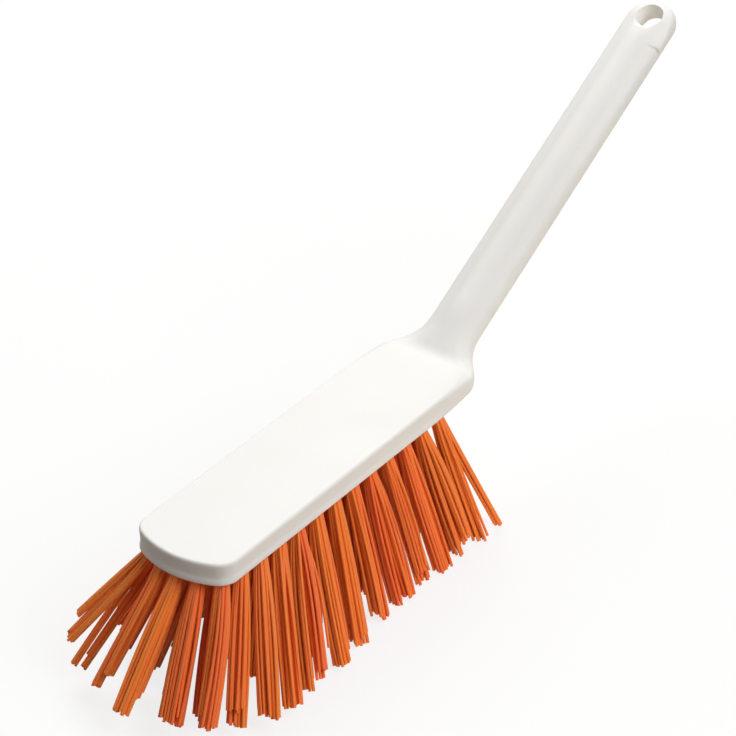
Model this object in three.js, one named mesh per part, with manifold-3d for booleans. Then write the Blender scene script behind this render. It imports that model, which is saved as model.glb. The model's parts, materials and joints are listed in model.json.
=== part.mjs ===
// Hand broom: a white moulded block and handle in one piece, set with five rows of orange bristle tufts.
// Millimetres, +Z up, +X from the front of the block to the end of the handle.
// The broom stands on its bristle tips. The origin is at the bottom centre of the whole broom.

import * as THREE from 'three';
import { mergeVertices } from 'three/addons/utils/BufferGeometryUtils.js';
import Module from 'manifold-3d';

// Block
const blockLength = 191;
const blockWidth = 50;
const blockEdgeHeight = 11.3;
const blockCrown = 4.7;
const frontBulge = 8;
const frontCornerRadius = 10;
const rearCornerRadius = 2.5;
const topEdgeRadius = 1.8;
const sideDraft = 0.6;
const lipHeight = 2.6;
const lipDepth = 0.5;
const sharpestCorner = 0.4;

// Handle
const handleLength = 213;
const handleAngle = THREE.MathUtils.degToRad(29.5);
const handleWidth = 24;
const handleThickness = 16;
const handleSquareness = 3.2;
const endThickness = 14;
const endRound = 2;
const endSweep = THREE.MathUtils.degToRad(83);
const bendSetback = 2;
const bendReach = 16;
const neckLength = 30;
const neckInset = 2;
const neckSharpness = 3;
const neckSink = 0.8;
const neckSideSink = 1.2;
const hangHoleDiameter = 14;
const hangHoleInset = 10.5;

// Tufts
const outerTufts = 13;
const middleTufts = 11;
const centreTufts = 11;
const tuftDiameter = 6;
const tuftTipDiameter = 10;
const tuftTrim = 71;
const frontTrim = 63;
const standHeight = 66;
const socketRoof = 3.5;
const tuftClearance = 0.3;
const outerRowInset = 7;
const outerFrontMargin = 12.5;
const middleFrontMargin = 8.5;
const centreFrontMargin = 7;
const outerRearMargin = 24.2;
const middleRearMargin = 30.5;
const centreRearMargin = 25;

// How the tufts lean, as sideways travel for each unit of drop
const rearLean = 0.15;
const frontLean = -0.68;
const leanGrowth = 1.4;
const sideLean = 0.33;
const cornerLean = 0.12;
const cornerReach = 30;
const splayLean = 0.15;
const splayPlace = 58;
const splayReach = 22;

// Facets
const crownSteps = 3;
const cornerSteps = 4;
const frontSteps = 8;
const edgeSteps = 3;
const sectionSides = 24;
const bendSteps = 8;
const shaftSteps = 4;
const endSteps = 6;
const holeSides = 24;
const tuftSides = 8;

const white = new THREE.MeshStandardMaterial({ color: 0xf1f0ea, roughness: 0.42, metalness: 0 });
const orange = new THREE.MeshStandardMaterial({ color: 0xd4551f, roughness: 0.5, metalness: 0 });

const wasm = await Module();
wasm.setup();

// A closed geometry from rings of points that all have the same count, with a flat fan on each end.
function loft(rings) {
  const count = rings[0].length;
  const points = rings.flat();
  const faces = [];
  for (let ring = 0; ring + 1 < rings.length; ring++) {
    for (let i = 0; i < count; i++) {
      const next = (i + 1) % count;
      const low = ring * count;
      const high = low + count;
      faces.push(low + i, low + next, high + next, low + i, high + next, high + i);
    }
  }
  for (const [ring, start] of [[rings[0], 0], [rings.at(-1), (rings.length - 1) * count]]) {
    const middle = ring.reduce((sum, point) => sum.add(point), new THREE.Vector3()).divideScalar(count);
    points.push(middle);
    for (let i = 0; i < count; i++) {
      const next = (i + 1) % count;
      const hub = points.length - 1;
      faces.push(...(start === 0 ? [hub, start + next, start + i] : [hub, start + i, start + next]));
    }
  }
  const geometry = new THREE.BufferGeometry().setFromPoints(points);
  geometry.setIndex(faces);
  return geometry;
}

function toSolid(geometry) {
  const bare = geometry.clone();
  bare.deleteAttribute('normal');
  bare.deleteAttribute('uv');
  const merged = mergeVertices(bare);
  return new wasm.Manifold(new wasm.Mesh({
    numProp: 3,
    vertProperties: new Float32Array(merged.attributes.position.array),
    triVerts: new Uint32Array(merged.index.array),
  }));
}

function toGeometry(solid) {
  const mesh = solid.getMesh();
  const geometry = new THREE.BufferGeometry();
  geometry.setAttribute('position', new THREE.BufferAttribute(mesh.vertProperties, 3));
  geometry.setIndex(new THREE.BufferAttribute(mesh.triVerts, 1));
  geometry.computeVertexNormals();
  return geometry;
}

// Points on an arc about a centre, from one angle to another, both ends included.
function arc(x, y, radius, from, to, steps) {
  const points = [];
  for (let i = 0; i <= steps; i++) {
    const angle = from + (to - from) * i / steps;
    points.push([x + radius * Math.cos(angle), y + radius * Math.sin(angle)]);
  }
  return points;
}

// The block's outline seen from above, moved in from its widest by an inset.
// The front is one wide arc, blended into the straight sides by the corner radius.
const halfWidth = blockWidth / 2;
const frontRadius = (halfWidth ** 2 + frontBulge ** 2) / (2 * frontBulge);

function blockOutline(inset) {
  const side = halfWidth - inset;
  const nose = frontRadius - inset;
  const front = Math.max(frontCornerRadius - inset, sharpestCorner);
  const rear = Math.max(rearCornerRadius - inset, sharpestCorner);
  const frontY = side - front;
  const frontX = frontRadius - Math.sqrt((nose - front) ** 2 - frontY ** 2);
  const turn = Math.atan2(frontY, frontRadius - frontX);
  const rearX = blockLength - inset - rear;
  const rearY = side - rear;
  const right = Math.PI / 2;
  return [
    ...arc(rearX, rearY, rear, 0, right, cornerSteps),
    ...arc(frontX, frontY, front, right, Math.PI - turn, cornerSteps),
    ...arc(frontRadius, 0, nose, Math.PI - turn, Math.PI + turn, frontSteps).slice(1, -1),
    ...arc(frontX, -frontY, front, Math.PI + turn, Math.PI + right, cornerSteps),
    ...arc(rearX, -rearY, rear, -right, 0, cornerSteps),
  ];
}

function level(outline, z) {
  return outline.map(([x, y]) => new THREE.Vector3(x, y, z));
}

// The underside swells from the block's edge towards its centre line, as a shallow cushion.
function crownRing(share) {
  const spineFrom = halfWidth;
  const spineTo = blockLength - halfWidth;
  return blockOutline(0).map(([x, y]) => new THREE.Vector3(
    THREE.MathUtils.lerp(x, THREE.MathUtils.clamp(x, spineFrom, spineTo), share),
    THREE.MathUtils.lerp(y, 0, share),
    -blockEdgeHeight - blockCrown * (1 - (1 - share) ** 2),
  ));
}

function blockGeometry() {
  const wallInset = lipDepth + sideDraft;
  const rings = [];
  for (let i = crownSteps; i > 0; i--) rings.push(crownRing(i / (crownSteps + 1)));
  rings.push(level(blockOutline(0), -blockEdgeHeight));
  rings.push(level(blockOutline(0), lipHeight - blockEdgeHeight));
  rings.push(level(blockOutline(lipDepth), lipHeight + lipDepth - blockEdgeHeight));
  for (let i = 0; i <= edgeSteps; i++) {
    const angle = Math.PI / 2 * i / edgeSteps;
    const inset = wallInset + topEdgeRadius * (1 - Math.cos(angle));
    rings.push(level(blockOutline(inset), topEdgeRadius * (Math.sin(angle) - 1)));
  }
  return loft(rings);
}

// The handle's centre line runs level inside the block, bends up and goes straight to the end.
const bendPoint = new THREE.Vector3(blockLength + bendSetback, 0, -blockEdgeHeight / 2);
const handleAxis = new THREE.Vector3(Math.cos(handleAngle), 0, Math.sin(handleAngle));
const handleNormal = new THREE.Vector3(-Math.sin(handleAngle), 0, Math.cos(handleAngle));
const bend = new THREE.QuadraticBezierCurve3(
  bendPoint.clone().setX(bendPoint.x - bendReach),
  bendPoint,
  bendPoint.clone().addScaledVector(handleAxis, bendReach),
);

function handlePoint(along) {
  return bendPoint.clone().addScaledVector(handleAxis, along);
}

// The neck narrows from the block to the handle with a hollow curve on each side.
function neckHalfWidth(x) {
  const share = THREE.MathUtils.clamp((x - blockLength + neckInset) / neckLength, 0, 1);
  const root = halfWidth - neckSideSink;
  return THREE.MathUtils.lerp(handleWidth / 2, root, (1 - share) ** neckSharpness);
}

// One cross-section: a squared oval in the plane across the centre line.
function section(centre, tangent, halfAcross, halfThick) {
  const up = new THREE.Vector3(-tangent.z, 0, tangent.x);
  const power = 2 / handleSquareness;
  const points = [];
  for (let i = 0; i < sectionSides; i++) {
    const angle = 2 * Math.PI * i / sectionSides;
    const across = Math.sign(Math.cos(angle)) * Math.abs(Math.cos(angle)) ** power;
    const rise = Math.sign(Math.sin(angle)) * Math.abs(Math.sin(angle)) ** power;
    const point = centre.clone().addScaledVector(up, halfThick * rise);
    point.y += halfAcross * across;
    points.push(point);
  }
  return points;
}

// The end rounds off in plan and stops just short of a point, at a small flat.
function handleGeometry() {
  const rings = [];
  const rootThick = blockEdgeHeight / 2 - neckSink;
  for (let i = 0; i <= bendSteps; i++) {
    const centre = bend.getPoint(i / bendSteps);
    const thick = THREE.MathUtils.lerp(rootThick, handleThickness / 2, i / bendSteps);
    rings.push(section(centre, bend.getTangent(i / bendSteps), neckHalfWidth(centre.x), thick));
  }
  const endRadius = handleWidth / 2;
  const roundFrom = handleLength - endRadius;
  for (let i = 1; i <= shaftSteps; i++) {
    const along = THREE.MathUtils.lerp(bendReach, roundFrom, i / shaftSteps);
    const thick = THREE.MathUtils.lerp(handleThickness, endThickness, i / shaftSteps) / 2;
    const centre = handlePoint(along);
    rings.push(section(centre, handleAxis, neckHalfWidth(centre.x), thick));
  }
  for (let i = 1; i <= endSteps; i++) {
    const angle = endSweep * i / endSteps;
    const centre = handlePoint(roundFrom + endRadius * Math.sin(angle));
    const thick = endThickness / 2 - endRound * (1 - Math.cos(angle));
    rings.push(section(centre, handleAxis, endRadius * Math.cos(angle), thick));
  }
  return loft(rings);
}

function hangHoleGeometry() {
  const reach = handleThickness + endThickness;
  const hole = new THREE.CylinderGeometry(hangHoleDiameter / 2, hangHoleDiameter / 2, reach, holeSides);
  const centre = handlePoint(handleLength - hangHoleInset);
  const upright = new THREE.Vector3(0, 1, 0);
  hole.applyQuaternion(new THREE.Quaternion().setFromUnitVectors(upright, handleNormal));
  hole.translate(centre.x, centre.y, centre.z);
  return hole;
}

// Where each tuft leaves the block, and how it leans.
// The rows fan out: sideways across the block, backwards at the rear and forwards at the front.
const outerRowY = halfWidth - outerRowInset;
const outerRow = { count: outerTufts, front: outerFrontMargin, rear: outerRearMargin };
const middleRow = { count: middleTufts, front: middleFrontMargin, rear: middleRearMargin };
const centreRow = { count: centreTufts, front: centreFrontMargin, rear: centreRearMargin };
const rows = [
  { name: 'near_outer', y: -outerRowY, ...outerRow },
  { name: 'near_middle', y: -outerRowY / 2, ...middleRow },
  { name: 'centre', y: 0, ...centreRow },
  { name: 'far_middle', y: outerRowY / 2, ...middleRow },
  { name: 'far_outer', y: outerRowY, ...outerRow },
];

function nearFront(x) {
  return THREE.MathUtils.clamp(1 - (x - centreFrontMargin) / cornerReach, 0, 1) ** 2;
}

// Part of the way along, the outer rows spread further, forwards and out.
function splay(x) {
  return splayLean * Math.exp(-(((x - splayPlace) / splayReach) ** 2));
}

function tuftLean(x, y) {
  const rearmost = blockLength - outerRearMargin;
  const forward = THREE.MathUtils.clamp((rearmost - x) / (rearmost - centreFrontMargin), 0, 1);
  const lengthwise = THREE.MathUtils.lerp(rearLean, frontLean, forward ** leanGrowth);
  const side = y / outerRowY;
  const sideways = sideLean + cornerLean * nearFront(x) + splay(x);
  return new THREE.Vector3(lengthwise - Math.abs(side) * splay(x), side * sideways, -1);
}

const tufts = rows.flatMap(({ name, y, count, front, rear }) => {
  const pitch = (blockLength - rear - front) / (count - 1);
  return Array.from({ length: count }, (_, i) => {
    const x = front + pitch * i;
    return {
      name: `tuft_${name}_${String(i + 1).padStart(2, '0')}`,
      root: new THREE.Vector3(x, y, -blockEdgeHeight),
      lean: tuftLean(x, y),
    };
  });
});

// A ring of points about a tuft's axis at a distance below the root, cut level or square to the axis.
function tuftRing({ root, lean }, drop, radius, levelCut) {
  const axis = lean.clone().normalize();
  const turn = new THREE.Quaternion().setFromUnitVectors(new THREE.Vector3(0, 0, -1), axis);
  const centre = root.clone().addScaledVector(lean, drop);
  const points = [];
  for (let i = 0; i < tuftSides; i++) {
    const angle = -2 * Math.PI * i / tuftSides;
    const spoke = new THREE.Vector3(Math.cos(angle), Math.sin(angle), 0);
    spoke.multiplyScalar(radius).applyQuaternion(turn);
    const point = centre.clone().add(spoke);
    if (levelCut) point.addScaledVector(lean, spoke.z);
    points.push(point);
  }
  return points;
}

// How far the tufts reach up into the block, from the level of its bottom edge.
const socketDepth = blockEdgeHeight - socketRoof;

// The drop from the block's edge to the tips: the trimmed length, or the level that the broom stands on.
function tuftDrop({ root, lean }) {
  const trim = THREE.MathUtils.lerp(tuftTrim, frontTrim, nearFront(root.x));
  return Math.min(standHeight, trim / lean.length());
}

function tuftGeometry(tuft) {
  return loft([
    tuftRing(tuft, -socketDepth, tuftDiameter / 2, false),
    tuftRing(tuft, blockCrown, tuftDiameter / 2, false),
    tuftRing(tuft, tuftDrop(tuft), tuftTipDiameter / 2, true),
  ]);
}

function tuftHoleGeometry(tuft) {
  const radius = tuftDiameter / 2 + tuftClearance;
  return loft([
    tuftRing(tuft, -socketDepth - tuftClearance, radius, false),
    tuftRing(tuft, blockCrown + tuftDiameter, radius, false),
  ]);
}

function bodyGeometry() {
  let body = toSolid(blockGeometry()).add(toSolid(handleGeometry()));
  body = body.subtract(toSolid(hangHoleGeometry()));
  for (const tuft of tufts) body = body.subtract(toSolid(tuftHoleGeometry(tuft)));
  return toGeometry(body);
}

const broom = new THREE.Group();

function addPiece(name, geometry, material) {
  const mesh = new THREE.Mesh(geometry, material);
  mesh.name = name;
  broom.add(mesh);
}

addPiece('broom_body', bodyGeometry(), white);
for (const tuft of tufts) addPiece(tuft.name, tuftGeometry(tuft), orange);

// Stand the broom on its tips, with the origin under the middle of its box.
const box = new THREE.Box3().setFromObject(broom);
const middle = box.getCenter(new THREE.Vector3());
broom.position.set(-middle.x, -middle.y, -box.min.z);

export default broom;
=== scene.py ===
import json
import math

import bmesh
import bpy
import numpy as np
from mathutils import Matrix, Quaternion, Vector


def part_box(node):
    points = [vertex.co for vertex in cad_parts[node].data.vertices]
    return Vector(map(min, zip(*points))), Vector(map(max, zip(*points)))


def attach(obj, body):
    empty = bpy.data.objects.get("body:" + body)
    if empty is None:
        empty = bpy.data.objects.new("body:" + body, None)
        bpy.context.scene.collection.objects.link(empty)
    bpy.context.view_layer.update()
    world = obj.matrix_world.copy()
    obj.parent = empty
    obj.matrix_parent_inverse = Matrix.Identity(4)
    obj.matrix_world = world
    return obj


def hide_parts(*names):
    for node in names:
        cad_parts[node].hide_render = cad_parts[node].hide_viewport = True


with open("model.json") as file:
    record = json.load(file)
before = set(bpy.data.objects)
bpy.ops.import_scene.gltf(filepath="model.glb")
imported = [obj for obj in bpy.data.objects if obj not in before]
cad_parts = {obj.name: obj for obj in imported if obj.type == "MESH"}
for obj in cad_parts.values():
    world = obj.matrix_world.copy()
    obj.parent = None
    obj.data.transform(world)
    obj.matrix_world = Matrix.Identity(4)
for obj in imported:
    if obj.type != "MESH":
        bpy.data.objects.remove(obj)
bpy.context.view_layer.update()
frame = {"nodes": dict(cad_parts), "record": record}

# Hand broom: a smooth white moulding, and tufts of separate folded filaments held by steel anchors.
# Sizes of the broom are in millimetres, in its own frame: x from the front of the block to the handle,
# y across it, negative on the near side, and z = 0 on the block's top. to_world places them in metres.
MM = 0.001

# Block
BLOCK_WIDTH = 50.0
BLOCK_LENGTH = 191.0
BLOCK_EDGE = 11.3
BLOCK_CROWN = 4.7
CROWN_REACH = 25.0
FRONT_BULGE = 8.0
FRONT_CORNER = 10.0
TOP_FILLET = 1.2
BOTTOM_ROUND = 0.8

# Lip along the bottom of the block's wall: how far it stands out, and the heights where it starts and is full
LIP_DEPTH = 0.45
LIP_FROM = 4.2
LIP_TO = 1.6

# Handle
HANDLE_LENGTH = 214.5
HANDLE_ANGLE = math.radians(29.5)
HANDLE_WIDTH = 24.0
GRIP_THICKNESS = 16.0
END_THICKNESS = 14.0
GRIP_CROWN = 1.2
END_CROWN = 0.4

# Neck: the bend, and the places where the width, the edge and the top's middle turn into the grip's
BEND_SETBACK = 2.0
TOP_BEND = 4.0
BOTTOM_BEND = 16.0
NECK_FROM = 185.0
NECK_TO = 221.0
NECK_SHARPNESS = 6
SECTION_FROM = 160.0
SECTION_TO = 197.0
RISE_FROM = 190.0
RISE_TO = 221.0

# Ring round the hanging hole, which the grip's near edge steps out to
RING_LENGTH = 26.0
RING_STEP = 1.8
RING_STEP_RUN = 0.8
RING_STEP_ROWS = 10
RING_FADE = 4.0

# Hanging hole
HOLE_DIAMETER = 13.0
HOLE_INSET = 10.2
HOLE_LIFT = 0.2
HOLE_ROUND = 2.2
HOLE_OVERCUT = 4.0

# The grip's edge from top to underside, with as many points as the block's edge: the inset from the outline
# and the height as a share of half the thickness
GRIP_EDGE_POINTS = [
    (5.00, 0.86), (4.20, 0.815), (3.40, 0.77), (2.60, 0.725), (1.80, 0.68), (1.00, 0.63), (0.45, 0.57),
    (0.00, 0.48), (-0.30, 0.36), (-0.50, 0.22), (-0.55, 0.06), (-0.50, -0.10), (-0.30, -0.24), (0.10, -0.37),
    (0.80, -0.50), (1.80, -0.63), (3.00, -0.74), (4.50, -0.84), (6.20, -0.91),
]

# Steps of the body's mesh round each of its curves
FILLET_STEPS = 6
WALL_STEPS = 3
LIP_STEPS = 4
ROUND_STEPS = 4
INNER_STEPS = 6
NOSE_STEPS = 14
CORNER_STEPS = 10
END_STEPS = 20
MOUTH_STEPS = 6
HOLE_SIDES = 64
SOCKET_SIDES = 24
BODY_SHARP = math.radians(32)

# Strides of the body's mesh along its length, and the margins within which the shorter ones are used
PLAIN_STRIDE = 4.0
NECK_STRIDE = 1.0
RING_STRIDE = 0.35
BEFORE_NECK = 10.0
AFTER_NECK = 6.0
BESIDE_RING = 4.5
SLOPE_SPAN = 0.1

# Distances in metres at which points count as one, and below which an edge has no length
SAME_POINT = 1e-6
NO_LENGTH = 1e-7

# Sockets and tufts
SOCKET_RADIUS = 3.45
SOCKET_CLEARANCE = 0.3
FILAMENT = 1.35
FILAMENT_SIDES = 8
FILAMENT_SHARP = math.radians(70)
TUFT_RADIUS = 2.74
STRAND_COLUMNS = (0.51, 1.49, 2.42)
STRAND_PITCH = 0.91
FOLD_DEPTH = 2.0
FOLD_FLATNESS = 0.8
FOLD_STEPS = 6
LEG_START = 14.0
LEG_STEPS = 7
FLARE_POWER = 3
FLOOR_CLEARANCE = 0.5

# Heights of the bands in which a solid tuft's inner end and its tip are looked for
INNER_END_BAND = 5.0
TIP_BAND = 0.1

# Chance in the tufts: each tuft has three clumps, which drift apart, and legs that stray or are broken off
SEED = 11
CLUMPS = 3
CLUMP_DRIFT = 1.1
LEG_WANDER = 0.3
STRAY_SHARE = 0.04
STRAY_WANDER = 1.8
SPREAD_NOISE = 0.05
LENGTH_NOISE = 0.45
BROKEN_SHARE = 0.08
BROKEN_LOSS = (2, 9)
LEG_BOW = 0.3
THICKNESS_RANGE = (0.93, 1.06)

# Tone of a clump, from red (0) to amber (1): drawn from a range, or set for some tufts
TONE_RANGE = (0.1, 0.95)
TONE_NOISE = 0.14
CLUMP_TONES = {"near_outer_12": 0.8, "near_outer_13": 0.9, "far_outer_01": 0.95}

# How much longer or shorter than its tuft a clump is: drawn from a list, or set for some tufts
ANY_LENGTH = [0.0, 0.0, -1.5, -4.0, -7.5, 0.8]
CLUMP_LENGTHS = {
    "near_outer_13": [0.0] * CLUMPS,
    "far_outer_01": [0.0, -11.0, 0.0],
}

# How many times wider a clump is at its tips than in its socket: the same for most tufts, or set for some
TIP_SPREAD = 1.61
TIP_SPREADS = {
    "near_outer_12": [1.94] * CLUMPS,
    "near_outer_13": [0.97, 1.83, 1.83],
    "far_outer_01": [0.81] * CLUMPS,
    "far_outer_02": [0.7] * CLUMPS,
    "far_outer_03": [1.08] * CLUMPS,
    "far_middle_01": [1.02] * CLUMPS,
    "far_middle_02": [1.08] * CLUMPS,
    "centre_01": [1.24] * CLUMPS,
}

# How far the tips of some tufts' clumps have been pushed aside in use
TIP_SHIFTS = {
    "near_outer_01": [(-2.5, 6.3, 0.0)] * CLUMPS,
    "near_outer_03": [(-0.2, -3.9, 0.0)] * CLUMPS,
    "near_outer_04": [(-1.5, -4.8, 0.0)] * CLUMPS,
    "near_outer_05": [(-2.0, -4.1, 0.0)] * CLUMPS,
    "near_outer_06": [(2.5, -3.6, 0.0)] * CLUMPS,
    "near_outer_13": [(11.5, -0.9, 0.0), (-0.5, -0.4, 0.0), (-0.5, -0.4, 0.0)],
    "near_middle_02": [(2.0, -2.9, 0.0)] * CLUMPS,
    "near_middle_03": [(2.5, -3.6, 0.0)] * CLUMPS,
    "centre_01": [(-5.3, 0.6, 0.0)] * CLUMPS,
    "centre_02": [(3.3, -4.7, 0.0)] * CLUMPS,
    "centre_03": [(6.0, -6.0, 0.0)] * CLUMPS,
    "far_middle_02": [(3.1, -4.3, 0.0)] * CLUMPS,
    "far_outer_01": [(6.0, 6.4, 8.0)] * CLUMPS,
    "far_outer_02": [(-8.5, -1.5, 0.0)] * CLUMPS,
    "far_outer_03": [(3.3, -4.7, 0.0)] * CLUMPS,
}
NO_SHIFT = (0.0, 0.0, 0.0)

# Turn that brings a tuft's first clump to the side of the handle
FIRST_CLUMP_TURN = {"near_outer_13": -math.pi / 6}

# Anchors
ANCHOR_LENGTH = 6.0
ANCHOR_HEIGHT = 2.0
ANCHOR_THICKNESS = 0.4
ANCHOR_BEVEL = 0.12
ANCHOR_SHARP = math.radians(40)

# Colours of the materials, as stops of a ramp
PLASTIC_TINTS = [(0.3, (0.845, 0.84, 0.81)), (0.7, (0.88, 0.878, 0.855))]
BRISTLE_TONES = [(0.0, (0.96, 0.15, 0.039)), (0.45, (0.975, 0.20, 0.041)), (1.0, (0.98, 0.265, 0.041))]
STEEL_TINTS = [(0.3, (0.5, 0.5, 0.49)), (0.7, (0.66, 0.66, 0.65))]

# Camera, as angles about a point of the broom
CAMERA_AZIMUTH = math.radians(-54.83)
CAMERA_ELEVATION = math.radians(33.57)
CAMERA_ROLL = math.radians(1.10)
CAMERA_DISTANCE = 1413.0
CAMERA_TARGET = (134.66, -3.97, 23.02)
CAMERA_LENS = 156.97
CAMERA_SENSOR = 36.0
CAMERA_CLIP = (0.05, 30.0)

# Lamps, in metres and watts: name, direction from the broom and power
LAMPS = [
    ("far_side", (0.437, 0.55, 0.712), 15.9),
    ("near_side", (-0.05, -0.70, 0.71), 15.0),
    ("front_left", (-0.55, 0.80, 0.25), 1.8),
]
LAMP_TARGET = (0.0, 0.0, 0.08)
LAMP_DISTANCE = 1.5
LAMP_SIZE = 1.2

# Floor and world, in metres
WHITE = (1, 1, 1, 1)
FLOOR_HALF = 6.0
FLOOR_LIT = (0.95, 0.95, 0.95, 1)
FLOOR_GLOW = 0.8
BOUNCE_TONES = [(0.1, (0.98, 0.86, 0.71)), (0.16, (0.14, 0.10, 0.07))]
BOUNCE_PLACE = (-0.043, 0.08, 0.0)
BOUNCE_SCALE = (0.43, 1.0, 1.0)
WORLD_TINT = (1.0, 0.95, 0.89, 1)
WORLD_STRENGTH = 0.2

# Sizes that follow from the ones above
HALF_WIDTH = BLOCK_WIDTH / 2
GRIP_HALF = HANDLE_WIDTH / 2
HALF_EDGE = BLOCK_EDGE / 2
BEND_X = BLOCK_LENGTH + BEND_SETBACK
END_X = BEND_X + HANDLE_LENGTH - GRIP_HALF
RING_X = END_X + GRIP_HALF - RING_LENGTH
NOSE_RADIUS = (HALF_WIDTH ** 2 + FRONT_BULGE ** 2) / (2 * FRONT_BULGE)
CORNER_Y = HALF_WIDTH - FRONT_CORNER
CORNER_X = NOSE_RADIUS - math.sqrt((NOSE_RADIUS - FRONT_CORNER) ** 2 - CORNER_Y ** 2)
NOSE_TURN = math.atan2(CORNER_Y, NOSE_RADIUS - CORNER_X)
SOCKET_CUT = LEG_START + HALF_EDGE

body_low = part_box("broom_body")[0]
block_top = next(m for m in frame["record"]["mounts"] if m["name"] == "block_top")["pos_m"][2]
ORIGIN = Vector((body_low.x, 0.0, block_top))


def to_world(point):
    return ORIGIN + Vector(point) * MM


def lerp(a, b, t):
    return a + (b - a) * t


def clamp(t):
    return min(max(t, 0.0), 1.0)


def smooth(low, high, x):
    t = clamp((x - low) / (high - low))
    return t * t * (3 - 2 * t)


def cushion(t):
    return 1 - (1 - clamp(t)) ** 2


# Meshes and objects


def add_to_scene(name, data):
    holder = bpy.data.objects.new(name, data)
    bpy.context.scene.collection.objects.link(holder)
    return holder


def add_object(name, verts, faces, material):
    mesh = bpy.data.meshes.new(name)
    mesh.from_pydata([tuple(v) for v in verts], [], faces)
    mesh.materials.append(material)
    return add_to_scene(name, mesh)


def ring_faces(rings, count):
    """Quads between closed rings of points, each ring of the same count and joined to the next."""
    faces = []
    for r in range(rings - 1):
        for i in range(count):
            a = r * count + i
            b = r * count + (i + 1) % count
            faces.append((a, b, b + count, a + count))
    return faces


def capped_faces(rings, count):
    """The same quads, with a cap on the first and on the last ring."""
    first = tuple(reversed(range(count)))
    last = tuple(range((rings - 1) * count, rings * count))
    return [*ring_faces(rings, count), first, last]


def join(parts):
    verts, faces = [], []
    for part_verts, part_faces in parts:
        start = len(verts)
        verts.extend(part_verts)
        faces.extend(tuple(i + start for i in face) for face in part_faces)
    return verts, faces


def shade(mesh, sharp_angle):
    mesh.shade_smooth()
    mesh.set_sharp_from_angle(angle=sharp_angle)


# Materials


def new_material(name):
    material = bpy.data.materials.new(name)
    material.use_nodes = True
    nodes = material.node_tree.nodes
    return material, nodes, material.node_tree.links, nodes["Principled BSDF"]


def set_inputs(node, values):
    for name, value in values.items():
        node.inputs[name].default_value = value


def object_noise(nodes, links, scale, detail):
    place = nodes.new("ShaderNodeTexCoord")
    noise = nodes.new("ShaderNodeTexNoise")
    set_inputs(noise, {"Scale": scale, "Detail": detail})
    links.new(place.outputs["Object"], noise.inputs["Vector"])
    return noise.outputs["Fac"]


def ramp(nodes, links, source, stops):
    """A colour ramp with the given stops, which are a position and a colour each."""
    node = nodes.new("ShaderNodeValToRGB")
    while len(node.color_ramp.elements) < len(stops):
        node.color_ramp.elements.new(0.5)
    for element, (at, colour) in zip(node.color_ramp.elements, stops):
        element.position = at
        element.color = (*colour, 1)
    links.new(source, node.inputs["Fac"])
    return node.outputs["Color"]


def greys(*stops):
    return [(at, (value, value, value)) for at, value in stops]


def white_plastic():
    material, nodes, links, shader = new_material("white_plastic")
    clouds = object_noise(nodes, links, scale=14, detail=3)
    grain = object_noise(nodes, links, scale=900, detail=2)
    gloss = ramp(nodes, links, grain, greys((0.2, 0.5), (0.8, 0.62)))
    bump = nodes.new("ShaderNodeBump")
    set_inputs(bump, {"Strength": 0.03, "Distance": 0.0003})
    links.new(grain, bump.inputs["Height"])
    links.new(ramp(nodes, links, clouds, PLASTIC_TINTS), shader.inputs["Base Color"])
    links.new(gloss, shader.inputs["Roughness"])
    links.new(bump.outputs["Normal"], shader.inputs["Normal"])
    set_inputs(shader, {
        "Specular IOR Level": 0.25,
        "Subsurface Weight": 0.35,
        "Subsurface Radius": (1.0, 0.85, 0.7),
        "Subsurface Scale": 0.002,
    })
    return material


def bristle_orange():
    material, nodes, links, shader = new_material("bristle_orange")
    tone = nodes.new("ShaderNodeAttribute")
    tone.attribute_name = "tone"
    streaks = object_noise(nodes, links, scale=600, detail=2)
    gloss = ramp(nodes, links, streaks, greys((0.2, 0.34), (0.8, 0.5)))
    links.new(ramp(nodes, links, tone.outputs["Fac"], BRISTLE_TONES), shader.inputs["Base Color"])
    links.new(gloss, shader.inputs["Roughness"])
    set_inputs(shader, {
        "Specular IOR Level": 0.3,
        "Sheen Weight": 1.0,
        "Sheen Roughness": 0.6,
        "Sheen Tint": (1.0, 0.35, 0.08, 1),
    })
    return material


def anchor_steel():
    material, nodes, links, shader = new_material("anchor_steel")
    scratches = object_noise(nodes, links, scale=1500, detail=4)
    gloss = ramp(nodes, links, scratches, greys((0.3, 0.3), (0.7, 0.5)))
    links.new(ramp(nodes, links, scratches, STEEL_TINTS), shader.inputs["Base Color"])
    links.new(gloss, shader.inputs["Roughness"])
    set_inputs(shader, {"Metallic": 1.0})
    return material


# Body: one moulding, laid out flat along its length and then bent up at the neck


def half_width(x):
    t = clamp((x - NECK_FROM) / (NECK_TO - NECK_FROM))
    return GRIP_HALF + (HALF_WIDTH - GRIP_HALF) * (1 - t * t) ** NECK_SHARPNESS


def half_thickness(x):
    return lerp(GRIP_THICKNESS, END_THICKNESS, clamp((x - BEND_X) / (END_X - BEND_X))) / 2


def crown(x):
    """How far the grip's top rises to its middle line. It is flatter round the hanging hole."""
    return lerp(GRIP_CROWN, END_CROWN, smooth(RING_X, END_X, x))


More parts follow.
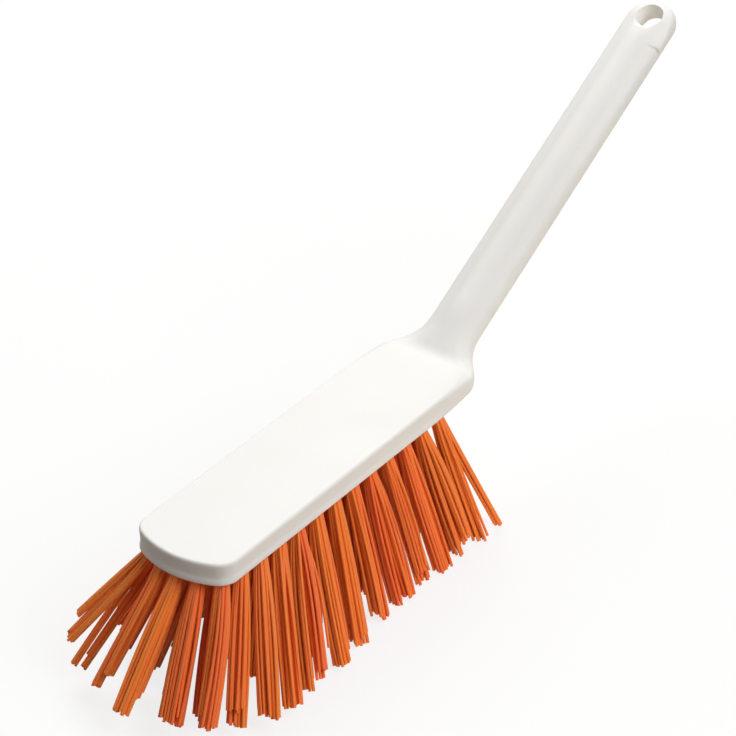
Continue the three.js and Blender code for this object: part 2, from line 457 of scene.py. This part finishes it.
def block_edge():
    """Inset and height of the block's edge, from its top round the fillet, down the wall and over the lip."""
    points = []
    for i in range(FILLET_STEPS + 1):
        a = math.pi / 2 * i / FILLET_STEPS
        points.append((TOP_FILLET * (1 - math.sin(a)), HALF_EDGE - TOP_FILLET * (1 - math.cos(a))))
    wall_top = HALF_EDGE - TOP_FILLET
    for i in range(1, WALL_STEPS + 1):
        t = i / WALL_STEPS
        points.append((LIP_DEPTH * t, lerp(wall_top, LIP_FROM - HALF_EDGE, t)))
    for i in range(1, LIP_STEPS + 1):
        height = lerp(LIP_FROM, LIP_TO, i / LIP_STEPS)
        points.append((LIP_DEPTH * (1 - smooth(LIP_FROM, LIP_TO, height)), height - HALF_EDGE))
    for i in range(ROUND_STEPS + 1):
        a = math.pi / 2 * i / ROUND_STEPS
        points.append((BOTTOM_ROUND * (1 - math.cos(a)), BOTTOM_ROUND * (1 - math.sin(a)) - HALF_EDGE))
    return points


BLOCK_EDGE_POINTS = block_edge()


def grip_edge(k, x, near):
    """Inset and height of the grip's edge point k at x. On the near side it steps out to the ring."""
    inset, share = GRIP_EDGE_POINTS[k]
    if near:
        step = RING_STEP * math.sin(math.pi * min(k / RING_STEP_ROWS, 1.0))
        out = smooth(RING_X, RING_X + RING_STEP_RUN, x)
        back = smooth(RING_X + RING_FADE, END_X + RING_FADE, x)
        inset -= step * out * (1 - back)
    return inset, share * half_thickness(x)


def stations():
    """Lengthwise places along the straight and the neck, closer together where the shape turns."""
    places = []
    x = CORNER_X
    while x < END_X:
        places.append(x)
        if abs(x - RING_X) < BESIDE_RING:
            x += RING_STRIDE
        elif SECTION_FROM - BEFORE_NECK < x < NECK_TO + AFTER_NECK:
            x += NECK_STRIDE
        else:
            x += PLAIN_STRIDE
    return places


def outline():
    """The far edge in plan from the nose to the handle's end: x, y and the normal that points in."""
    points = []

    def add_arc(x, radius, y, start, stop, steps, last):
        for i in range(steps + last):
            a = lerp(start, stop, i / steps)
            points.append((x + radius * math.cos(a), y + radius * math.sin(a), -math.cos(a), -math.sin(a)))

    add_arc(NOSE_RADIUS, NOSE_RADIUS, 0, math.pi, math.pi - NOSE_TURN, NOSE_STEPS, last=0)
    add_arc(CORNER_X, FRONT_CORNER, CORNER_Y, math.pi - NOSE_TURN, math.pi / 2, CORNER_STEPS, last=0)
    for x in stations():
        slope = (half_width(x + SLOPE_SPAN) - half_width(x - SLOPE_SPAN)) / (2 * SLOPE_SPAN)
        size = math.hypot(slope, 1)
        points.append((x, half_width(x), slope / size, -1 / size))
    add_arc(END_X, GRIP_HALF, 0, math.pi / 2, 0, END_STEPS, last=1)
    return points


def bent(x, y, height, share):
    """A point of the flat layout, moved to where the bend at the neck takes it."""
    reach = lerp(BOTTOM_BEND, TOP_BEND, clamp(share / 2 + 0.5))
    along = x - BEND_X
    if along <= -reach:
        return (x, y, height - HALF_EDGE)
    if along >= reach:
        angle = HANDLE_ANGLE
        run, rise = along * math.cos(angle), along * math.sin(angle)
    else:
        t = (along + reach) / (2 * reach)
        run = reach * (t * t * math.cos(HANDLE_ANGLE) - (1 - t) ** 2)
        rise = reach * t * t * math.sin(HANDLE_ANGLE)
        angle = math.atan2(t * math.sin(HANDLE_ANGLE), (1 - t) + t * math.cos(HANDLE_ANGLE))
    return (
        BEND_X + run - height * math.sin(angle),
        y,
        rise + height * math.cos(angle) - HALF_EDGE,
    )


def half_ring(x, y, nx, ny, near):
    """Points from the top's middle line over the edge to the underside's middle line, for one place."""
    mix = smooth(SECTION_FROM, SECTION_TO, x)
    rise = smooth(RISE_FROM, RISE_TO, x)
    lag = (grip_edge(0, x, near)[1] - HALF_EDGE) * (mix - rise)
    edge = []
    for k, (inset, height) in enumerate(BLOCK_EDGE_POINTS):
        grip_inset, grip_height = grip_edge(k, x, near)
        share = lerp(height / HALF_EDGE, GRIP_EDGE_POINTS[k][1], mix)
        inset = lerp(inset, grip_inset, mix)
        level = lerp(height, grip_height, mix) - lag * max(height / HALF_EDGE, 0.0)
        edge.append((x + nx * inset, max(y + ny * inset, 0.0), level, share))

    def inner(rim, sign):
        """Points from the rim in to the middle line, on the top (sign 1) or the underside (sign -1)."""
        rows = []
        rim_x, rim_y, rim_height, share = rim
        for j in range(1, INNER_STEPS + 1):
            q = j / INNER_STEPS
            block = sign * HALF_EDGE
            if sign < 0:
                ends = cushion(rim_x / CROWN_REACH) * cushion((NECK_FROM - rim_x) / CROWN_REACH)
                block -= BLOCK_CROWN * cushion(q) * ends
            middle = half_thickness(x) + crown(x) if sign > 0 else -half_thickness(x)
            grip = lerp(rim_height, middle, cushion(q))
            rows.append((rim_x, rim_y * (1 - q), lerp(block, grip, rise if sign > 0 else mix), share))
        return rows

    top = inner(edge[0], 1)
    bottom = inner(edge[-1], -1)
    return [*reversed(top), *edge, *bottom]


def body_shell():
    rings = []
    for place in outline():
        far = half_ring(*place, near=False)
        near = [(x, -y, h, s) for x, y, h, s in half_ring(*place, near=True)[1:-1]]
        rings.append([bent(*p) for p in [*far, *reversed(near)]])
    verts = [to_world(p) for ring in rings for p in ring]
    return verts, ring_faces(len(rings), len(rings[0]))


def cutter(centre, axis, profile, sides):
    """A turned solid about an axis. The profile is radius and distance along the axis, from end to end."""
    turn = Vector((0, 0, 1)).rotation_difference(axis)
    verts = []
    for radius, along in profile:
        for i in range(sides):
            a = 2 * math.pi * i / sides
            spoke = turn @ Vector((radius * math.cos(a), radius * math.sin(a), along))
            verts.append(centre + spoke * MM)
    return verts, capped_faces(len(profile), sides)


def hanging_hole():
    """The bore through the handle's end, with a rounded mouth on both faces."""
    end = END_THICKNESS / 2 + HOLE_LIFT
    radius = HOLE_DIAMETER / 2
    rise = []
    for i in range(MOUTH_STEPS + 1):
        a = math.pi / 2 * i / MOUTH_STEPS
        rise.append((radius + HOLE_ROUND * (1 - math.cos(a)), end - HOLE_ROUND * (1 - math.sin(a))))
    rise.append((radius + HOLE_ROUND, end + HOLE_OVERCUT))
    profile = [(r, -z) for r, z in reversed(rise)] + rise
    centre = to_world(bent(END_X + GRIP_HALF - HOLE_INSET, 0, 0, 0))
    axis = Vector((-math.sin(HANDLE_ANGLE), 0, math.cos(HANDLE_ANGLE)))
    return cutter(centre, axis, profile, HOLE_SIDES)


def socket(tuft):
    """The hole for a tuft, from just past its inner end to well below the block."""
    profile = [(SOCKET_RADIUS, -SOCKET_CLEARANCE), (SOCKET_RADIUS, SOCKET_CUT)]
    return cutter(tuft["root"], tuft["axis"], profile, SOCKET_SIDES)


def close_shell(mesh):
    """Joins the points that meet at the ends and turns all the faces out."""
    shell = bmesh.new()
    shell.from_mesh(mesh)
    bmesh.ops.remove_doubles(shell, verts=shell.verts, dist=SAME_POINT)
    bmesh.ops.dissolve_degenerate(shell, dist=NO_LENGTH, edges=shell.edges)
    bmesh.ops.recalc_face_normals(shell, faces=shell.faces)
    shell.to_mesh(mesh)
    shell.free()


def drop_split_points(mesh):
    """Takes out the points that only split an edge, which a cut leaves along its rim."""
    shell = bmesh.new()
    shell.from_mesh(mesh)
    bmesh.ops.dissolve_verts(shell, verts=[v for v in shell.verts if len(v.link_edges) == 2])
    shell.to_mesh(mesh)
    shell.free()


def cut_away(body, holes):
    """Cuts the holes out of the body's mesh and removes their object."""
    cut = body.modifiers.new("holes", "BOOLEAN")
    cut.operation = "DIFFERENCE"
    cut.solver = "MANIFOLD"
    cut.object = holes
    graph = bpy.context.evaluated_depsgraph_get()
    mesh = bpy.data.meshes.new_from_object(body.evaluated_get(graph))
    body.modifiers.clear()
    body.data = mesh
    bpy.data.objects.remove(holes)
    drop_split_points(mesh)


def make_body(tufts, material):
    body = add_object("body_moulding", *body_shell(), material)
    close_shell(body.data)
    holes = join([hanging_hole(), *(socket(t) for t in tufts)])
    cut_away(body, add_object("body_holes", *holes, material))
    shade(body.data, BODY_SHARP)
    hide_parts("broom_body")
    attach(body, "root")


# Tufts: folded filaments, in the place and along the line of each solid tuft of the frame


def read_tuft(name):
    """The middle of a tuft's inner end and its line to the tip, from the solid that the frame holds."""
    points = np.array([v.co for v in frame["nodes"][name].data.vertices])
    heights = points[:, 2]

    def middle(band):
        return Vector((band.min(0) + band.max(0)) / 2)

    root = middle(points[heights > heights.max() - INNER_END_BAND * MM])
    tip = middle(points[heights < heights.min() + TIP_BAND * MM])
    axis = (tip - root).normalized()
    across = (Vector((0, 1, 0)) - axis * axis.y).normalized()
    return {
        "name": name,
        "root": root,
        "axis": axis,
        "across": across,
        "beside": axis.cross(across),
        "length": (tip - root).length / MM,
    }


def strand_places():
    """Where the strands of one tuft lie: across the fold, and along the anchor."""
    places = []
    for column in STRAND_COLUMNS:
        room = math.sqrt(TUFT_RADIUS ** 2 - column ** 2)
        count = int(2 * room / STRAND_PITCH) + 1
        for i in range(count):
            places.append((column, STRAND_PITCH * (i - (count - 1) / 2)))
    return places


def tube(path, radius):
    """A closed round tube along a path of points."""
    points = [Vector(p) for p in path]
    verts = []
    side = None
    for i, point in enumerate(points):
        ahead = points[min(i + 1, len(points) - 1)]
        behind = points[max(i - 1, 0)]
        heading = (ahead - behind).normalized()
        if side is None:
            side = heading.orthogonal().normalized()
        side = (side - heading * side.dot(heading)).normalized()
        other = heading.cross(side)
        for k in range(FILAMENT_SIDES):
            a = 2 * math.pi * k / FILAMENT_SIDES
            verts.append(point + (side * math.cos(a) + other * math.sin(a)) * radius)
    return verts, capped_faces(len(points), FILAMENT_SIDES)


def placed(tuft, point):
    """A point given across, beside and along a tuft, in the frame."""
    u, v, along = point
    return tuft["root"] + (tuft["across"] * u + tuft["beside"] * v + tuft["axis"] * along) * MM


def leg(tuft, u, v, clump, random):
    """One leg of a strand, from the socket's mouth to the trimmed tip."""
    stray = random.random() < STRAY_SHARE
    spread = clump["spread"] + random.normal(0, SPREAD_NOISE)
    wander = random.normal(0, STRAY_WANDER if stray else LEG_WANDER, 2)
    tip_u = u * spread + clump["drift"][0] + wander[0]
    tip_v = v * spread + clump["drift"][1] + wander[1]
    length = tuft["length"] + clump["longer"] + random.normal(0, LENGTH_NOISE)
    if random.random() < BROKEN_SHARE:
        length -= random.uniform(*BROKEN_LOSS)
    bow_u, bow_v = random.normal(0, LEG_BOW, 2)
    points = []
    for i in range(LEG_STEPS + 1):
        t = i / LEG_STEPS
        swell = math.sin(math.pi * t)
        flare = 1 - (1 - t) ** FLARE_POWER
        across = lerp(u, tip_u, flare) + bow_u * swell
        beside = lerp(v, tip_v, flare) + bow_v * swell
        point = (across, beside, lerp(LEG_START, length, t))
        points.append(placed(tuft, point) + clump["shift"] * t)
    return above_floor(points)


def above_floor(points):
    """Cuts a filament short where it would reach below the surface that the broom stands on."""
    tip, before = Vector(points[-1]), Vector(points[-2])
    low = FLOOR_CLEARANCE * MM
    if tip.z < low:
        t = (before.z - low) / (before.z - tip.z)
        points[-1] = before.lerp(tip, clamp(t))
    return points


def fold(tuft, u, v):
    """The turn of a strand over its anchor, from one leg to the other."""
    points = []
    for i in range(FOLD_STEPS + 1):
        a = math.pi * i / FOLD_STEPS
        points.append(placed(tuft, (u * math.cos(a), v, FOLD_DEPTH - FOLD_FLATNESS * u * math.sin(a))))
    return points


def tuft_clumps(short_name, lengths, random):
    """What sets the clumps of one tuft apart from each other."""
    shifts = TIP_SHIFTS.get(short_name, [NO_SHIFT] * CLUMPS)
    spreads = TIP_SPREADS.get(short_name, [TIP_SPREAD] * CLUMPS)
    return [
        {
            "drift": random.normal(0, CLUMP_DRIFT, 2),
            "longer": longer,
            "tone": CLUMP_TONES.get(short_name, random.uniform(*TONE_RANGE)),
            "shift": Vector(shift) * MM,
            "spread": spread,
        }
        for shift, spread, longer in zip(shifts, spreads, lengths)
    ]


def make_tuft(tuft, material, random):
    short_name = tuft["name"][len("tuft_"):]
    lengths = CLUMP_LENGTHS.get(short_name, random.choice(ANY_LENGTH, CLUMPS))
    turn = FIRST_CLUMP_TURN.get(short_name, random.uniform(0, 2 * math.pi))
    clumps = tuft_clumps(short_name, lengths, random)
    parts, tones = [], []
    for u, v in strand_places():
        legs, leg_tones = [], []
        for sign in (1, -1):
            angle = (math.atan2(v, sign * u) + turn) % (2 * math.pi)
            clump = clumps[int(angle / (2 * math.pi) * CLUMPS) % CLUMPS]
            legs.append(leg(tuft, sign * u, v, clump, random))
            leg_tones.append(clump["tone"])
        path = [*reversed(legs[0]), *fold(tuft, u, v), *legs[1]]
        radius = FILAMENT / 2 * random.uniform(*THICKNESS_RANGE) * MM
        verts, faces = tube(path, radius)
        parts.append((verts, faces))
        half = len(verts) // 2
        for tone in leg_tones:
            tones.extend([clamp(tone + random.normal(0, TONE_NOISE))] * half)
        tones.extend([tones[-1]] * (len(verts) - 2 * half))
    piece = add_object("filaments_" + short_name, *join(parts), material)
    piece.data.attributes.new("tone", "FLOAT", "POINT").data.foreach_set("value", tones)
    shade(piece.data, FILAMENT_SHARP)
    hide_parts(tuft["name"])
    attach(piece, "root")


def make_anchors(tufts, material):
    """A flat steel staple across each fold, all in one piece."""
    shell = bmesh.new()
    sizes = Matrix.Diagonal((ANCHOR_THICKNESS * MM, ANCHOR_LENGTH * MM, ANCHOR_HEIGHT * MM, 1))
    for tuft in tufts:
        made = bmesh.ops.create_cube(shell, size=1.0)["verts"]
        axes = Matrix((tuft["across"], tuft["beside"], tuft["axis"])).transposed().to_4x4()
        middle = tuft["root"] + tuft["axis"] * (FOLD_DEPTH + ANCHOR_HEIGHT / 2) * MM
        bmesh.ops.transform(shell, matrix=Matrix.Translation(middle) @ axes @ sizes, verts=made)
    bevel = ANCHOR_BEVEL * MM
    bmesh.ops.bevel(shell, geom=shell.edges[:], offset=bevel, segments=2, affect="EDGES", profile=0.5)
    bmesh.ops.recalc_face_normals(shell, faces=shell.faces)
    mesh = bpy.data.meshes.new("anchors")
    shell.to_mesh(mesh)
    shell.free()
    mesh.materials.append(material)
    shade(mesh, ANCHOR_SHARP)
    piece = add_to_scene("anchors", mesh)
    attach(piece, "root")


# Stage


def seen_rays(nodes, links):
    """One for the rays that the camera sees directly or in gloss and glass, and zero for the others."""
    path = nodes.new("ShaderNodeLightPath")
    seen = path.outputs["Is Camera Ray"]
    for kind in ("Is Glossy Ray", "Is Transmission Ray"):
        either = nodes.new("ShaderNodeMath")
        either.operation = "MAXIMUM"
        links.new(seen, either.inputs[0])
        links.new(path.outputs[kind], either.inputs[1])
        seen = either.outputs[0]
    return seen


def mixed(nodes, links, first, second, amount):
    """A mix of two shaders. The amount of the second is a number or a node's output."""
    mix = nodes.new("ShaderNodeMixShader")
    if isinstance(amount, float):
        mix.inputs["Fac"].default_value = amount
    else:
        links.new(amount, mix.inputs["Fac"])
    links.new(first, mix.inputs[1])
    links.new(second, mix.inputs[2])
    return mix.outputs[0]


def floor_tone(nodes, links):
    """The colour that the floor lends to its bounced light: bright beside the tufts, dull further away."""
    place = nodes.new("ShaderNodeTexCoord")
    moved = nodes.new("ShaderNodeMapping")
    set_inputs(moved, {"Location": BOUNCE_PLACE, "Scale": BOUNCE_SCALE})
    links.new(place.outputs["Object"], moved.inputs["Vector"])
    away = nodes.new("ShaderNodeVectorMath")
    away.operation = "LENGTH"
    links.new(moved.outputs[0], away.inputs[0])
    return ramp(nodes, links, away.outputs["Value"], BOUNCE_TONES)


def make_floor():
    """A floor that looks white, keeps the shadow and sends little light back up."""
    corners = [(x * FLOOR_HALF, y * FLOOR_HALF, 0) for x, y in ((-1, -1), (1, -1), (1, 1), (-1, 1))]
    material, nodes, links, shader = new_material("floor_white")
    nodes.remove(shader)
    bounce = nodes.new("ShaderNodeBsdfDiffuse")
    links.new(floor_tone(nodes, links), bounce.inputs["Color"])
    lit = nodes.new("ShaderNodeBsdfDiffuse")
    set_inputs(lit, {"Color": FLOOR_LIT})
    glow = nodes.new("ShaderNodeEmission")
    set_inputs(glow, {"Color": WHITE, "Strength": 1.0})
    white = mixed(nodes, links, lit.outputs[0], glow.outputs[0], FLOOR_GLOW)
    surface = mixed(nodes, links, bounce.outputs[0], white, seen_rays(nodes, links))
    links.new(surface, nodes["Material Output"].inputs["Surface"])
    floor = add_object("floor", corners, [(0, 1, 2, 3)], material)


def make_world():
    """A weak warm light from all round, which the camera sees as white."""
    world = bpy.data.worlds.new("studio")
    bpy.context.scene.world = world
    world.use_nodes = True
    nodes, links = world.node_tree.nodes, world.node_tree.links
    background = nodes["Background"]
    set_inputs(background, {"Color": WORLD_TINT, "Strength": WORLD_STRENGTH})
    white = nodes.new("ShaderNodeBackground")
    set_inputs(white, {"Color": WHITE, "Strength": 1.0})
    surface = mixed(nodes, links, background.outputs[0], white.outputs[0], seen_rays(nodes, links))
    links.new(surface, nodes["World Output"].inputs["Surface"])


def aim(holder, target, back, distance, roll=0.0):
    """Moves a lamp or the camera back from a target, and turns it to look there."""
    holder.location = target + back * distance
    holder.rotation_mode = "QUATERNION"
    holder.rotation_quaternion = (-back).to_track_quat("-Z", "Y") @ Quaternion((0, 0, 1), roll)


def add_lamp(name, direction, power):
    lamp = bpy.data.lights.new(name, "AREA")
    lamp.shape = "DISK"
    lamp.size = LAMP_SIZE
    lamp.energy = power
    aim(add_to_scene(name, lamp), Vector(LAMP_TARGET), Vector(direction).normalized(), LAMP_DISTANCE)


def make_camera():
    lens = bpy.data.cameras.new("camera")
    lens.sensor_width = CAMERA_SENSOR
    lens.lens = CAMERA_LENS
    lens.clip_start, lens.clip_end = CAMERA_CLIP
    camera = add_to_scene("camera", lens)
    back = Vector((
        math.sin(CAMERA_AZIMUTH) * math.cos(CAMERA_ELEVATION),
        -math.cos(CAMERA_AZIMUTH) * math.cos(CAMERA_ELEVATION),
        math.sin(CAMERA_ELEVATION),
    ))
    aim(camera, to_world(CAMERA_TARGET), back, CAMERA_DISTANCE * MM, CAMERA_ROLL)
    bpy.context.scene.camera = camera


bpy.context.scene.view_settings.view_transform = "Standard"
make_camera()
make_floor()
make_world()
for lamp in LAMPS:
    add_lamp(*lamp)

tufts = [read_tuft(name) for name in sorted(frame["nodes"]) if name.startswith("tuft_")]
make_body(tufts, white_plastic())
bristle = bristle_orange()
random = np.random.default_rng(SEED)
for tuft in tufts:
    make_tuft(tuft, bristle, random)
make_anchors(tufts, anchor_steel())
